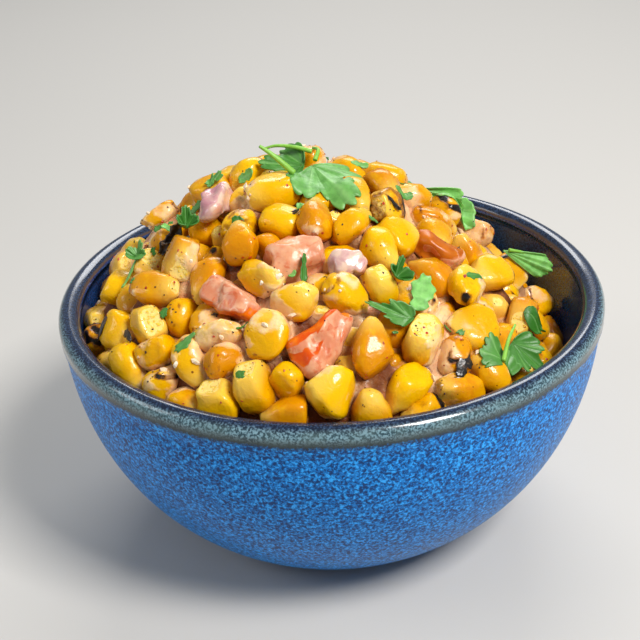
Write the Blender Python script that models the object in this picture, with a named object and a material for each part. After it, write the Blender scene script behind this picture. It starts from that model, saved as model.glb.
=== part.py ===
"""A round glazed bowl heaped with street-corn salad, with the larger pieces of tomato and onion in it.

Metres, +Z up. The origin is the centre of the ring that the bowl stands on, and +Y points away from the
diner. The bowl is one turned solid. The salad is one solid that fills the bowl and rises above it, out to
the tops of its corn kernels. Each piece of tomato or onion is a solid of its own, in a pocket in the salad.
"""

import math
import random

import bmesh
import bpy
from mathutils import Matrix, Vector

# Bowl
RIM_RADIUS = 0.064
RIM_HEIGHT = 0.0590
LIP_THICKNESS = 0.0050
LIP_BAND = 0.0045  # how far the rolled lip reaches down outside
WAIST = 0.0006  # how far the wall steps in under the lip
INSIDE_POWER = 2.25
BODY_DEPTH = 0.0652  # the outer curve's full depth, of which the foot cuts off the end
BODY_POWER = 2.12  # 2 is an ellipse, and more is fuller towards the foot
FOOT_RADIUS = 0.0300
FOOT_HEIGHT = 0.0016
FOOT_RING_WIDTH = 0.0040
FOOT_RECESS = 0.0022  # how far the underside lies above the ring that the bowl stands on
FOOT_EDGE = 0.0004  # the ring's softened edges
FLOOR_THICKNESS = 0.0056
BOWL_SIDES = 68

# Salad
GAP = 0.0003  # clearance between touching pieces
CROWN_HEIGHT = 0.0880
CROWN_SHIFT = Vector((-0.0050, 0.0030))  # the top of the heap is left of the middle
HEAP_RINGS = 22
WALL_RINGS = 5
KERNEL_LENGTH = 0.0092
KERNEL_CAP = (0.62, 0.48)  # half length and half width of a kernel's cap, in kernel lengths
KERNEL_SPACING = 0.88  # in kernel lengths
KERNEL_JITTER = 0.28  # in spacings
KERNEL_RELIEF = 0.0042
SEED = 11

# Larger pieces
CORNER_POWER = 5  # 2 rounds a cube to a ball, and more keeps its corners
TAPER = 0.30
BOW = 0.22

# How high the salad meets the wall at each azimuth, in degrees from +X towards +Y, and how sharply its side
# falls there: 1 is a straight cone, 3 a flat top with a steep edge.
EDGE_LEVELS = ((0, 0.0380), (45, 0.0400), (90, 0.0485), (135, 0.0495), (180, 0.0490), (225, 0.0520),
               (270, 0.0540), (310, 0.0500), (335, 0.0425))
SIDE_POWERS = ((0, 1.9), (60, 1.95), (120, 2.1), (180, 2.1), (230, 2.2), (270, 2.1), (320, 1.95))

# Larger pieces: (name, material, x, y, length, width, thickness, heading, lean, sink), metres and degrees.
# Heading turns a piece about the heap's own normal, and sink is the share of its thickness that is bedded.
CHUNKS = (
    ("tomato_front", "tomato", -0.0017, -0.0440, 0.0150, 0.0120, 0.0080, 48, 12, 0.88),
    ("tomato_left", "tomato", -0.0199, -0.0339, 0.0140, 0.0080, 0.0060, -38, 10, 0.92),
    ("tomato_top", "tomato", -0.0070, -0.0272, 0.0120, 0.0105, 0.0075, 15, 6, 0.88),
    ("tomato_right", "tomato", 0.0226, -0.0180, 0.0110, 0.0065, 0.0060, -6, 8, 0.90),
    ("onion_centre", "onion", 0.0034, -0.0304, 0.0070, 0.0052, 0.0048, -8, 10, 0.85),
    ("onion_left", "onion", -0.0237, -0.0062, 0.0095, 0.0070, 0.0055, 70, 10, 0.88),
)

MATERIALS = {
    "glaze": ((0.035, 0.160, 0.440), 0.32, 0.0),
    "salad": ((0.900, 0.480, 0.020), 0.35, 0.0),
    "tomato": ((0.780, 0.130, 0.030), 0.30, 0.0),
    "onion": ((0.720, 0.560, 0.600), 0.35, 0.0),
}


def clear_scene():
    for obj in list(bpy.data.objects):
        bpy.data.objects.remove(obj)


def make_material(name):
    colour, roughness, metallic = MATERIALS[name]
    material = bpy.data.materials.new(name)
    material.use_nodes = True
    shader = material.node_tree.nodes["Principled BSDF"]
    shader.inputs["Base Color"].default_value = (*colour, 1.0)
    shader.inputs["Roughness"].default_value = roughness
    shader.inputs["Metallic"].default_value = metallic
    return material


def add_object(name, mesh, material):
    mesh.materials.append(material)
    mesh.shade_smooth()
    mesh.set_sharp_from_angle(angle=math.radians(40))
    obj = bpy.data.objects.new(name, mesh)
    bpy.context.scene.collection.objects.link(obj)
    return obj


def around(table, azimuth):
    """The table's value at an azimuth in degrees, eased between its rows all the way round."""
    rows = [*table, (table[0][0] + 360, table[0][1])]
    azimuth %= 360
    for (start, low), (end, high) in zip(rows, rows[1:]):
        if start <= azimuth <= end:
            share = (azimuth - start) / (end - start)
            return low + (high - low) * share * share * (3 - 2 * share)
    raise ValueError(f"the table starts above azimuth {azimuth}")


# The bowl's curves, as radii at a height.


def outer_radius(height):
    """The body's outside: a quarter of a slightly full ellipse that starts at the lip's middle."""
    depth = (RIM_HEIGHT - LIP_THICKNESS / 2 - height) / BODY_DEPTH
    return (RIM_RADIUS - WAIST) * (1 - depth ** BODY_POWER) ** (1 / BODY_POWER)


def inner_radius(height):
    """The body's inside: as the outside, but a wall's thickness further in, closing on the bowl's floor."""
    lip_z = RIM_HEIGHT - LIP_THICKNESS / 2
    depth = min(1.0, max(0.0, lip_z - height) / (lip_z - FLOOR_THICKNESS))
    return (RIM_RADIUS - LIP_THICKNESS) * (1 - depth ** INSIDE_POWER) ** (1 / INSIDE_POWER)


def arc(centre_r, centre_z, radius, start, end, steps):
    """Points on an arc in the profile plane, both ends included, angles in degrees from +R towards +Z."""
    points = []
    for i in range(steps + 1):
        angle = math.radians(start + (end - start) * i / steps)
        points.append((centre_r + radius * math.cos(angle), centre_z + radius * math.sin(angle)))
    return points


def bowl_profile():
    """The bowl's closed outline in (radius, height), from the middle of its underside round to its floor."""
    ring_in = FOOT_RADIUS - FOOT_RING_WIDTH
    points = [(0.0, FOOT_RECESS), (ring_in - 3 * FOOT_EDGE, FOOT_RECESS)]
    points += [(ring_in, FOOT_EDGE), (ring_in + FOOT_EDGE, 0.0)]
    points += [(FOOT_RADIUS - FOOT_EDGE, 0.0), (FOOT_RADIUS, FOOT_EDGE),
               (FOOT_RADIUS + FOOT_EDGE, FOOT_HEIGHT)]
    body_top = RIM_HEIGHT - LIP_THICKNESS / 2 - LIP_BAND
    for share in (0.02, 0.08, 0.17, 0.29, 0.43, 0.60, 0.80, 1.0):
        height = FOOT_HEIGHT + (body_top - FOOT_HEIGHT) * share
        points.append((outer_radius(height), height))
    lip_r = RIM_RADIUS - LIP_THICKNESS / 2
    lip_z = RIM_HEIGHT - LIP_THICKNESS / 2
    points.append((RIM_RADIUS - WAIST * 0.3, lip_z - LIP_BAND * 0.55))
    points += arc(lip_r, lip_z, LIP_THICKNESS / 2, -12, 180, 8)
    for share in (0.12, 0.30, 0.48, 0.65, 0.80, 0.91, 0.975):
        height = lip_z + (FLOOR_THICKNESS - lip_z) * share
        points.append((inner_radius(height), height))
    points.append((0.0, FLOOR_THICKNESS))
    return points


def make_bowl(material):
    """Spins the outline about Z, then joins the two points on the axis into poles."""
    shape = bmesh.new()
    corners = [shape.verts.new((r, 0.0, z)) for r, z in bowl_profile()]
    edges = [shape.edges.new(pair) for pair in zip(corners, corners[1:])]
    bmesh.ops.spin(shape, geom=corners + edges, cent=(0, 0, 0), axis=(0, 0, 1), angle=math.tau,
                   steps=BOWL_SIDES, use_merge=True)
    bmesh.ops.remove_doubles(shape, verts=shape.verts, dist=1e-6)
    bmesh.ops.recalc_face_normals(shape, faces=shape.faces)
    mesh = bpy.data.meshes.new("bowl")
    shape.to_mesh(mesh)
    shape.free()
    return add_object("bowl", mesh, material)


# The salad's outline.


def kernel_spots():
    """Where the kernels show from above: a sunflower spiral at the kernels' spacing, unevenly nudged."""
    chance = random.Random(SEED)
    spacing = KERNEL_LENGTH * KERNEL_SPACING
    spots = []
    for i in range(int((RIM_RADIUS / spacing) ** 2 * math.pi)):
        radius = spacing * math.sqrt((i + 0.5) / math.pi)
        angle = i * math.pi * (3 - math.sqrt(5))
        nudge = Vector((chance.uniform(-1, 1), chance.uniform(-1, 1))) * spacing * KERNEL_JITTER
        heading = chance.uniform(0, math.pi)
        spots.append((Vector((radius * math.cos(angle), radius * math.sin(angle))) + nudge, heading))
    return spots


def kernel_relief(x, y, spots):
    """How far the nearest kernels stand up at (x, y): the highest of their oval caps."""
    best = 0.0
    for centre, heading in spots:
        away = Vector((x, y)) - centre
        if away.length > KERNEL_LENGTH:
            continue
        along = away.x * math.cos(heading) + away.y * math.sin(heading)
        across = away.y * math.cos(heading) - away.x * math.sin(heading)
        reach = (along / (KERNEL_LENGTH * KERNEL_CAP[0])) ** 2
        reach += (across / (KERNEL_LENGTH * KERNEL_CAP[1])) ** 2
        if reach < 1:
            best = max(best, math.sqrt(1 - reach))
    return best * KERNEL_RELIEF


def edge_of(azimuth):
    """(radius, height) where the salad meets the wall, at an azimuth in degrees."""
    level = around(EDGE_LEVELS, azimuth)
    return inner_radius(level) - GAP, level


def smooth_heap(azimuth, share):
    """The heap's surface without its kernels, a share of the way from its crown to the wall."""
    radius, level = edge_of(azimuth)
    angle = math.radians(azimuth)
    fall = share ** around(SIDE_POWERS, azimuth)
    crown = CROWN_HEIGHT - KERNEL_RELIEF
    centre = CROWN_SHIFT * (1 - share)
    return Vector((centre.x + radius * share * math.cos(angle), centre.y + radius * share * math.sin(angle),
                   crown + (level - crown) * fall))


def heap_spot(x, y):
    """The (azimuth, share) at which the heap's surface lies over (x, y), closed in on by repetition."""
    share = 0.5
    for _ in range(60):
        away = Vector((x, y)) - CROWN_SHIFT * (1 - share)
        azimuth = math.degrees(math.atan2(away.y, away.x)) % 360
        share = away.length / edge_of(azimuth)[0]
    return azimuth, share


def heap_normal(azimuth, share):
    """The smooth heap's outward normal, from short steps along it and round it."""
    along = smooth_heap(azimuth, share + 0.02) - smooth_heap(azimuth, share - 0.02)
    beside = smooth_heap(azimuth + 2, share) - smooth_heap(azimuth - 2, share)
    return along.cross(beside).normalized()


def heap_top(azimuth, share, spots):
    """The salad's outline: the smooth heap with its kernels, which sink where they would pass the wall."""
    point = smooth_heap(azimuth, share)
    near_wall = max(0.0, 1 - (1 - share) * HEAP_RINGS / 2)
    point.z += kernel_relief(point.x, point.y, spots) * (1 - near_wall)
    return point


def ring_azimuths(count):
    return [360 * i / count for i in range(count)]


def make_salad(material):
    """A disc of rings with six more points in each for the top, and rings down the bowl's inside below."""
    spots = kernel_spots()
    shape = bmesh.new()
    rings = [[shape.verts.new(heap_top(0, 0, spots))]]
    for ring in range(1, HEAP_RINGS + 1):
        rings.append([shape.verts.new(heap_top(azimuth, ring / HEAP_RINGS, spots))
                      for azimuth in ring_azimuths(6 * ring)])
    for ring in range(1, HEAP_RINGS + 1):
        inner, outer = rings[ring - 1], rings[ring]
        for sector in range(6):
            for step in range(ring):
                far = outer[sector * ring + step]
                further = outer[(sector * ring + step + 1) % len(outer)]
                near = inner[(sector * (ring - 1) + step) % len(inner)]
                shape.faces.new((near, far, further))
                if step < ring - 1:
                    nearer = inner[(sector * (ring - 1) + step + 1) % len(inner)]
                    shape.faces.new((near, further, nearer))
    last = rings[-1]
    sides = len(last)
    floor = FLOOR_THICKNESS + GAP
    for step in range(1, WALL_RINGS + 1):
        share = (step / (WALL_RINGS + 0.35)) ** 0.8
        ring = []
        for azimuth in ring_azimuths(sides):
            level = around(EDGE_LEVELS, azimuth)
            height = level + (floor - level) * share
            radius = inner_radius(height - GAP) - GAP
            angle = math.radians(azimuth)
            ring.append(shape.verts.new((radius * math.cos(angle), radius * math.sin(angle), height)))
        for i in range(sides):
            j = (i + 1) % sides
            shape.faces.new((last[i], ring[i], ring[j], last[j]))
        last = ring
    bottom = shape.verts.new((0, 0, floor))
    for i in range(sides):
        shape.faces.new((last[i], bottom, last[(i + 1) % sides]))
    bmesh.ops.recalc_face_normals(shape, faces=shape.faces)
    mesh = bpy.data.meshes.new("corn_salad")
    shape.to_mesh(mesh)
    shape.free()
    return add_object("corn_salad", mesh, material)


# The larger pieces.


def chunk_mesh(name, size, grow):
    """A diced piece: a cube with rounded corners, narrower at one end, its upper face bowed as a skin is."""
    shape = bmesh.new()
    bmesh.ops.create_cube(shape, size=2.0)
    bmesh.ops.subdivide_edges(shape, edges=shape.edges, cuts=2, use_grid_fill=True)
    for corner in shape.verts:
        x, y, z = corner.co
        corner.co /= sum(abs(c) ** CORNER_POWER for c in corner.co) ** (1 / CORNER_POWER)
        x, y, z = corner.co
        taper = 1 - TAPER * (x + 1) / 2
        bow = BOW * (1 - x * x)
        corner.co = ((x * size[0] / 2) + math.copysign(grow, x) * abs(x),
                     (y * taper * size[1] / 2) + math.copysign(grow, y) * abs(y),
                     ((z + bow) * size[2] / 2) + math.copysign(grow, z) * abs(z))
    mesh = bpy.data.meshes.new(name)
    shape.to_mesh(mesh)
    shape.free()
    return mesh


def chunk_matrix(x, y, thickness, heading, lean, sink):
    """Stands a piece on the heap: its own Z along the heap's normal, turned and leaned, and partly sunk."""
    azimuth, share = heap_spot(x, y)
    normal = heap_normal(azimuth, share)
    right = Vector((1, 0, 0))
    right = (right - normal * right.dot(normal)).normalized()
    ahead = normal.cross(right)
    stand = Matrix((right, ahead, normal)).transposed().to_4x4()
    turn = Matrix.Rotation(math.radians(heading), 4, "Z") @ Matrix.Rotation(math.radians(lean), 4, "X")
    lift = KERNEL_RELIEF + thickness * (0.5 - sink)
    return Matrix.Translation(smooth_heap(azimuth, share) + normal * lift) @ stand @ turn


def make_chunk(salad, materials, row):
    """One piece, and the pocket that it lies in, which a slightly larger copy cuts from the salad."""
    name, material, x, y, length, width, thickness, heading, lean, sink = row
    size = (length, width, thickness)
    place = chunk_matrix(x, y, thickness, heading, lean, sink)
    piece = add_object(name, chunk_mesh(name, size, 0.0), materials[material])
    piece.matrix_world = place
    cutter = add_object(name + "_pocket", chunk_mesh(name + "_pocket", size, GAP * 1.5), materials[material])
    cutter.matrix_world = place
    cutter.hide_render = True
    cutter.display_type = "WIRE"
    pocket = salad.modifiers.new(name + "_pocket", "BOOLEAN")
    pocket.operation = "DIFFERENCE"
    pocket.object = cutter
    return piece


def main():
    clear_scene()
    materials = {name: make_material(name) for name in MATERIALS}
    make_bowl(materials["glaze"])
    salad = make_salad(materials["salad"])
    for row in CHUNKS:
        make_chunk(salad, materials, row)


main()
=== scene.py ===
import math

import bpy
import numpy as np
from mathutils import Matrix, Vector


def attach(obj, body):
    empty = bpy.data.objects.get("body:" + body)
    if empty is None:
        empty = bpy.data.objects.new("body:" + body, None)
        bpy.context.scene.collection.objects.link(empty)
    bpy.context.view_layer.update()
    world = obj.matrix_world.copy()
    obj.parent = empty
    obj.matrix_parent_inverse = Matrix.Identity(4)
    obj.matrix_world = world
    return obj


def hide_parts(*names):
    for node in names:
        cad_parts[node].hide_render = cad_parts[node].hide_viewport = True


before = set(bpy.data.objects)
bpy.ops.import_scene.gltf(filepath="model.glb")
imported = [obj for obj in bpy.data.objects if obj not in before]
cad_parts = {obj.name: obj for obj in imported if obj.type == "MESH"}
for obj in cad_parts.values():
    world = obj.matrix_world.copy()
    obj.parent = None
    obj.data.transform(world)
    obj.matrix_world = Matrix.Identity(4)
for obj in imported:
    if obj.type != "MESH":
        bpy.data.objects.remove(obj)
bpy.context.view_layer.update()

# Everything below is worked out in millimetres and put into the meshes in metres.
mm = 0.001


# camera

view = {"target": (-2.73, 0.0, 48.08), "down": 28.68, "roll": -2.32, "away": 267.8, "lens": 61.875}
lookDown, lookRoll = math.radians(view["down"]), math.radians(view["roll"])
ahead = Vector((0.0, math.cos(lookDown), -math.sin(lookDown)))
level = Vector((1.0, 0.0, 0.0))
upward = level.cross(ahead)
camRight = level * math.cos(lookRoll) + upward * math.sin(lookRoll)
camUp = upward * math.cos(lookRoll) - level * math.sin(lookRoll)
camera = bpy.data.objects.new("camera", bpy.data.cameras.new("camera"))
camera.data.sensor_width = 36.0
camera.data.lens = view["lens"]
camera.data.clip_start = 0.01
camera.matrix_world = Matrix((camRight, camUp, -ahead)).transposed().to_4x4()
camera.location = Vector(view["target"]) * mm - ahead * (view["away"] * mm)
bpy.context.scene.collection.objects.link(camera)
bpy.context.scene.camera = camera


# looks

def paint(red, green, blue):
    # a colour given as 0 to 255 on screen, as the linear numbers that the shaders take
    values = [v / 255 for v in (red, green, blue)]
    return tuple(v / 12.92 if v <= 0.04045 else ((v + 0.055) / 1.055) ** 2.4 for v in values) + (1.0,)


class Flow:
    # a node's output, which Python's operators join to others with Math nodes
    def __init__(self, look, socket):
        self.look = look
        self.socket = socket

    def math(self, operation, *values):
        return self.look.node("ShaderNodeMath", {"operation": operation}, dict(enumerate(values)))

    def __add__(self, other):
        return self.math("ADD", self, other)

    def __sub__(self, other):
        return self.math("SUBTRACT", self, other)

    def __mul__(self, other):
        return self.math("MULTIPLY", self, other)

    def __rsub__(self, other):
        return self.math("SUBTRACT", other, self)

    __radd__ = __add__
    __rmul__ = __mul__

    def ease(self, low, high):
        return self.look.node("ShaderNodeMapRange", {"interpolation_type": "SMOOTHSTEP"},
                              {"Value": self, "From Min": low, "From Max": high})


class Look:
    # a Principled material whose sockets take plain values or flows
    def __init__(self, name, **constants):
        self.material = bpy.data.materials.new(name)
        self.material.use_nodes = True
        self.tree = self.material.node_tree
        self.shader = self.tree.nodes["Principled BSDF"]
        self.place = self.node("ShaderNodeTexCoord", out="Object")
        for socket, value in constants.items():
            self.shader.inputs[socket.replace("_", " ")].default_value = value

    def node(self, kind, settings=None, inputs=None, out=0):
        made = self.tree.nodes.new(kind)
        for name, value in (settings or {}).items():
            setattr(made, name, value)
        for name, value in (inputs or {}).items():
            if isinstance(value, Flow):
                self.tree.links.new(value.socket, made.inputs[name])
            else:
                made.inputs[name].default_value = value
        return Flow(self, made.outputs[out])

    def tint(self, name):
        return self.node("ShaderNodeAttribute", {"attribute_name": name}, out="Fac")

    def noise(self, size, detail=2.0, rough=0.5, warp=0.0):
        # bumps about size mm apart, 0 to 1
        inputs = {"Vector": self.place, "Scale": 1 / mm / size, "Detail": detail, "Roughness": rough}
        return self.node("ShaderNodeTexNoise", {}, inputs | {"Distortion": warp})

    def dots(self, spacing, radius, share):
        # round dots of that radius in mm in a share of the cells of a Voronoi pattern
        inputs = {"Vector": self.place, "Scale": 1 / mm / spacing}
        away = self.node("ShaderNodeTexVoronoi", {}, inputs, "Distance")
        colour = self.node("ShaderNodeTexVoronoi", {}, inputs, "Color")
        pick = self.node("ShaderNodeSeparateColor", {}, {0: colour})
        within = 1 - away.ease(radius / spacing * 0.7, radius / spacing)
        return within * pick.ease(1 - share, 1 - share + 0.02)

    def mix(self, factor, first, second):
        return self.node("ShaderNodeMix", {"data_type": "RGBA"}, {0: factor, 6: first, 7: second}, 2)

    def feed(self, socket, flow):
        self.tree.links.new(flow.socket, self.shader.inputs[socket])

    def bump(self, height, distance):
        # distance in mm is how far a height of 1 stands out
        self.feed("Normal", self.node("ShaderNodeBump", {}, {"Height": height, "Distance": distance * mm}))


# meshes

def addTint(mesh, name, values):
    # one number for each point, which a material reads by name
    layer = mesh.attributes.new(name, "FLOAT", "POINT")
    layer.data.foreach_set("value", np.asarray(values, np.float32).ravel())


def addPiece(name, points, faces, tints=None, smooth=True):
    # points in mm, faces as an array or a list of tuples, tints as {attribute: one number per point}
    mesh = bpy.data.meshes.new(name)
    points = np.asarray(points, float).reshape(-1, 3)
    if isinstance(faces, np.ndarray):
        faces = [faces]
    corners = np.concatenate([f.ravel() for f in faces]).astype(np.int32)
    sizes = np.concatenate([np.full(len(f), f.shape[1]) for f in faces]).astype(np.int32)
    mesh.vertices.add(len(points))
    mesh.vertices.foreach_set("co", (points * mm).astype(np.float32).ravel())
    mesh.loops.add(len(corners))
    mesh.loops.foreach_set("vertex_index", corners)
    mesh.polygons.add(len(sizes))
    mesh.polygons.foreach_set("loop_start", np.concatenate([[0], np.cumsum(sizes)[:-1]]).astype(np.int32))
    mesh.polygons.foreach_set("loop_total", sizes)
    mesh.update(calc_edges=True)
    mesh.validate()
    mesh.polygons.foreach_set("use_smooth", np.full(len(mesh.polygons), smooth))
    for tint, values in (tints or {}).items():
        addTint(mesh, tint, values)
    piece = bpy.data.objects.new(name, mesh)
    bpy.context.scene.collection.objects.link(piece)
    return piece


def finished(piece, material, node=None):
    # its material, what it rides on and the CAD node that it stands in for
    piece.data.materials.append(material)
    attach(piece, "root")
    if node:
        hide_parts(node)


def gridFaces(rows, columns, wrapColumns=False):
    # quads of a rows x columns grid of points numbered row by row
    last = columns if wrapColumns else columns - 1
    r, c = np.meshgrid(np.arange(rows - 1), np.arange(last), indexing="ij")
    d = (c + 1) % columns
    corners = [r * columns + c, r * columns + d, (r + 1) * columns + d, (r + 1) * columns + c]
    return np.stack(corners, -1).reshape(-1, 4)


def ballAngles(rings, columns):
    # the angle down from the top and the angle round, for the top pole, the rings and the bottom pole
    phi = np.linspace(0, np.pi, rings + 2)[1:-1]
    theta = np.linspace(0, 2 * np.pi, columns, endpoint=False)
    grid = np.stack(np.meshgrid(phi, theta, indexing="ij"), -1).reshape(-1, 2)
    return np.concatenate([[0], grid[:, 0], [np.pi]]), np.concatenate([[0], grid[:, 1], [0]])


def ballFaces(rings, columns):
    # top pole 0, rings of columns points, bottom pole last; faces point outwards when the rings go down and
    # round anticlockwise seen from above
    quads = gridFaces(rings, columns, True)[:, ::-1] + 1
    c = np.arange(columns)
    d = (c + 1) % columns
    top = np.stack([np.zeros_like(c), c + 1, d + 1], -1)
    low = 1 + (rings - 1) * columns
    bottom = np.stack([np.full_like(c, 1 + rings * columns), low + d, low + c], -1)
    return quads, top, bottom


def repeated(faces, count, size):
    # the same faces for each of count shapes of size points
    return (faces[None] + (np.arange(count) * size)[:, None, None]).reshape(-1, faces.shape[1])


def waves(points, size, seed, count=9):
    # a sum of sine waves that run in random directions, about -1 to 1, its bumps about size apart
    chance = np.random.default_rng(seed)
    ways = chance.normal(size=(count, 3))
    ways *= (2 * np.pi / size * chance.uniform(0.7, 1.5, count) / np.linalg.norm(ways, axis=1))[:, None]
    return np.sin(points @ ways.T + chance.uniform(0, 2 * np.pi, count)).sum(-1) / math.sqrt(count) / 1.1


def ease(low, high, value):
    # 0 below low, 1 above high, a smooth step between
    t = np.clip((value - low) / (high - low), 0, 1)
    return t * t * (3 - 2 * t)


def unit(v):
    return v / np.maximum(np.linalg.norm(v, axis=-1, keepdims=True), 1e-9)


def power(v, p):
    # keeps the sign of v
    return np.sign(v) * np.abs(v) ** p


def turnedBy(turns, points):
    # each shape's own points, (shape, point, 3), turned by its matrix
    return np.einsum("nij,nkj->nki", turns, points)


def randomTurns(count, chance):
    # rotation matrices from random quaternions
    q = unit(chance.normal(size=(count, 4)))
    w, x, y, z = q.T
    return np.stack([1 - 2 * (y * y + z * z), 2 * (x * y - z * w), 2 * (x * z + y * w),
                     2 * (x * y + z * w), 1 - 2 * (x * x + z * z), 2 * (y * z - x * w),
                     2 * (x * z - y * w), 2 * (y * z + x * w), 1 - 2 * (x * x + y * y)], -1).reshape(-1, 3, 3)


# the heap's own surface, the same as the solid's without its bumps

bowl = {"rim": 64.0, "top": 59.0, "lip": 5.0, "floor": 5.6, "foot": 30.0, "inside": 2.25, "outside": 2.12,
        "depth": 65.2, "waist": 0.6}
lipZ = bowl["top"] - bowl["lip"] / 2
heap = {
    "crown": 83.8,
    "shift": (-5.0, 3.0),
    "levels": [(0, 38.0), (45, 40.0), (90, 48.5), (135, 49.5), (180, 49.0), (225, 52.0), (270, 54.0),
               (310, 50.0), (335, 42.5)],
    "powers": [(0, 1.9), (60, 1.95), (120, 2.1), (180, 2.1), (230, 2.2), (270, 2.1), (320, 1.95)],
}


def aroundTable(table, azimuth):
    # the table's value at an azimuth in degrees, eased between rows all the way round
    rows = np.array(table + [(table[0][0] + 360, table[0][1])], float)
    turn = np.mod(azimuth, 360)
    k = np.clip(np.searchsorted(rows[:, 0], turn, side="right") - 1, 0, len(rows) - 2)
    s = (turn - rows[k, 0]) / (rows[k + 1, 0] - rows[k, 0])
    return rows[k, 1] + (rows[k + 1, 1] - rows[k, 1]) * s * s * (3 - 2 * s)


def wallRadius(z):
    # the bowl's inside: (1 - depth^p)^(1/p) of the lip's inner radius
    depth = np.clip((lipZ - z) / (lipZ - bowl["floor"]), 0, 1)
    return (bowl["rim"] - bowl["lip"]) * (1 - depth ** bowl["inside"]) ** (1 / bowl["inside"])


def heapSurface(azimuth, share):
    # share of the way from the crown to the wall; falls from the crown by share^power
    edge = aroundTable(heap["levels"], azimuth)
    reach = wallRadius(edge) * share
    turn = np.radians(azimuth)
    fall = share ** aroundTable(heap["powers"], azimuth)
    return np.stack([heap["shift"][0] * (1 - share) + reach * np.cos(turn),
                     heap["shift"][1] * (1 - share) + reach * np.sin(turn),
                     heap["crown"] + (edge - heap["crown"]) * fall], -1)


def heapPlace(x, y):
    # (azimuth, share) whose surface point is over x, y, closed in on by repetition
    share = np.full(np.shape(x), 0.5)
    for _ in range(16):
        dx, dy = x - heap["shift"][0] * (1 - share), y - heap["shift"][1] * (1 - share)
        azimuth = np.degrees(np.arctan2(dy, dx)) % 360
        share = np.hypot(dx, dy) / wallRadius(aroundTable(heap["levels"], azimuth))
    return azimuth, share


def heapUnder(x, y):
    # the heap's height and outward direction at x, y, from short steps along X and Y
    step = 0.6
    heights = []
    for dx, dy in ((0, 0), (step, 0), (-step, 0), (0, step), (0, -step)):
        azimuth, share = heapPlace(x + dx, y + dy)
        heights.append(heapSurface(azimuth, np.minimum(share, 1.0))[..., 2])
    slopeX, slopeY = (heights[1] - heights[2]) / (2 * step), (heights[3] - heights[4]) / (2 * step)
    return heights[0], unit(np.stack([-slopeX, -slopeY, np.ones_like(slopeX)], -1))


# heights and normals on a 1 mm grid, read between its points
heapCells = 131
heapAxis = np.linspace(-65.0, 65.0, heapCells)
heapGrid = heapUnder(*np.meshgrid(heapAxis, heapAxis, indexing="ij"))


def readGrid(grid, x, y, axis):
    # value between the four grid points round x, y
    step = axis[1] - axis[0]
    u = np.clip((x - axis[0]) / step, 0, len(axis) - 1.001)
    v = np.clip((y - axis[0]) / step, 0, len(axis) - 1.001)
    i, j = u.astype(int), v.astype(int)
    s, t = u - i, v - j
    if grid.ndim == 3:
        s, t = s[..., None], t[..., None]
    low = grid[i, j] * (1 - s) + grid[i + 1, j] * s
    high = grid[i, j + 1] * (1 - s) + grid[i + 1, j + 1] * s
    return low * (1 - t) + high * t


def heapHeight(x, y):
    return readGrid(heapGrid[0], x, y, heapAxis)


def heapNormal(x, y):
    return readGrid(heapGrid[1], x, y, heapAxis)


# chopped pieces, which the kernels lie round

def chunkFrame(name):
    # centre, axes and half sizes of a CAD node in mm, from its corners
    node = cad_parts[name]
    points = np.array([v.co for v in node.data.vertices]) / mm
    centre = (points.min(0) + points.max(0)) / 2
    axes = np.linalg.svd(points - points.mean(0), full_matrices=False)[2]
    half = np.abs((points - centre) @ axes.T).max(0)
    return centre, axes, half


chunkNames = ["tomato_front", "tomato_left", "tomato_top", "tomato_right", "onion_centre", "onion_left"]
chunks = {name: chunkFrame(name) for name in chunkNames}


# kernels settle against each other

# How many there are, how deep they lie under the heap's surface in mm, how far they may stand over it when they
# are loose and when they are placed, and how firmly the placed ones keep their places.
shell = {"count": 350, "seed": 20, "steps": 420, "depth": 9.6, "proud": (2.2, 4.4), "proudPlaced": 6.5,
         "firm": 0.85}
# Pairs of balls within the margin in mm are found anew every few steps. The next three are the shares of an
# overlap that one step clears, and fall is how far it sinks a kernel in mm.
settling = {"every": 8, "margin": 1.6, "apart": 1.3, "layer": 0.7, "chunk": 0.5, "fall": 0.03}
# Each kind's half width, thickness and height in mm, how often it comes, how much of its tip's half the cut leaves
# and how much that varies, then how blocky, narrow at the tip, dented in mm, rough in mm and burnt it is.
kernelKinds = {
    "plump": {"half": (4.4, 3.75, 6.0), "often": 0.42, "cut": 0.82, "cutMore": 0.14, "blocky": 0.12,
              "narrow": 0.46, "dent": 0.35, "rough": 0.15, "burnt": -0.50},
    "blocky": {"half": (4.85, 3.75, 5.4), "often": 0.34, "cut": 0.66, "cutMore": 0.22, "blocky": 0.42,
               "narrow": 0.34, "dent": 0.5, "rough": 0.17, "burnt": -0.50},
    "flat": {"half": (4.7, 2.9, 5.6), "often": 0.17, "cut": 0.70, "cutMore": 0.20, "blocky": 0.30,
             "narrow": 0.34, "dent": 1.1, "rough": 0.26, "burnt": -0.50},
    "charred": {"half": (4.6, 3.4, 5.4), "often": 0.07, "cut": 0.66, "cutMore": 0.24, "blocky": 0.30,
                "narrow": 0.32, "dent": 1.0, "rough": 0.24, "burnt": 0.06},
}


def ofKind(field):
    return np.array([kind[field] for kind in kernelKinds.values()])[kinds]


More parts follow.
